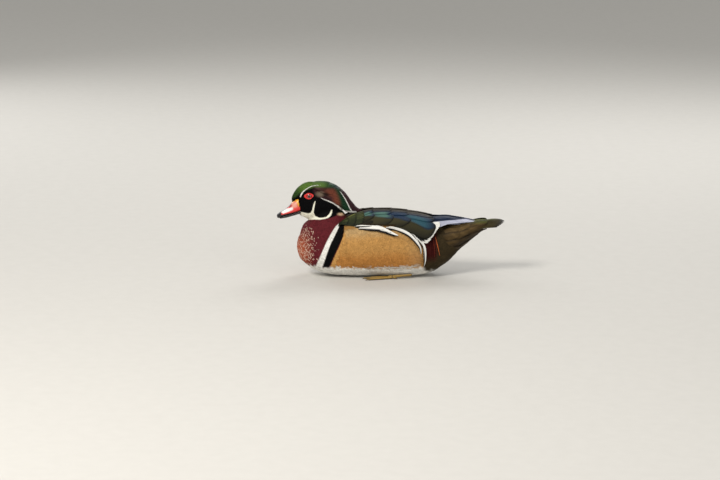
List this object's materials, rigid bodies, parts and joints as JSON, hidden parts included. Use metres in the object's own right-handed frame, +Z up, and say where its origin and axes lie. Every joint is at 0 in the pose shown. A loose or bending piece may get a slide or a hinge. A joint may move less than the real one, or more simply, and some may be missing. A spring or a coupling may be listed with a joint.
{
  "type": "wood duck",
  "caption": "Life-size still model of a drake wood duck resting on its belly, with crested head, folded wings, side plumes, fanned tail and webbed feet tucked under.",
  "frame": {"origin": "bottom centre of the whole bird's box, on the plane that its belly and feet rest on", "axes": "the bird faces -Y with its tail towards +Y, its left side is +X, and +Z is up"},
  "size_m": [0.1278, 0.42, 0.1757],
  "materials": {
    "breast_and_belly": "chestnut feathers with small pale spots, a white bar and white belly",
    "head_feathers": "glossy green, purple and black feathers with white lines",
    "crest_feathers": "long glossy green and purple feathers with white lines",
    "bill": "red and white horn with a black ridge and nail",
    "bill_dark": "black horn",
    "eye": "wet red iris with a black pupil",
    "flank_feathers": "finely barred tan feathers with black and white edges",
    "wing_feathers": "glossy bronze green and blue feathers",
    "flight_feathers": "blue black vanes with pale outer edges",
    "tail_feathers": "dark bronze olive feathers",
    "plumes": "narrow gold orange plumes",
    "leg_skin": "dull yellow scaled skin with dark webs"
  },
  "bodies": {
    "root": {"torso": "breast_and_belly", "neck": "breast_and_belly", "head": "head_feathers", "crest": "crest_feathers", "bill_upper": "bill", "bill_lower": "bill_dark", "eye_left": "eye", "eye_right": "eye", "flank_left": "flank_feathers", "flank_right": "flank_feathers", "wing_left": "wing_feathers", "wing_right": "wing_feathers", "primaries_left": "flight_feathers", "primaries_right": "flight_feathers", "tail_coverts": "tail_feathers", "tail": "tail_feathers", "rump_plumes_left": "plumes", "rump_plumes_right": "plumes", "leg_left": "leg_skin", "leg_right": "leg_skin", "foot_left": "leg_skin", "foot_right": "leg_skin"}
  },
  "joints": []
}
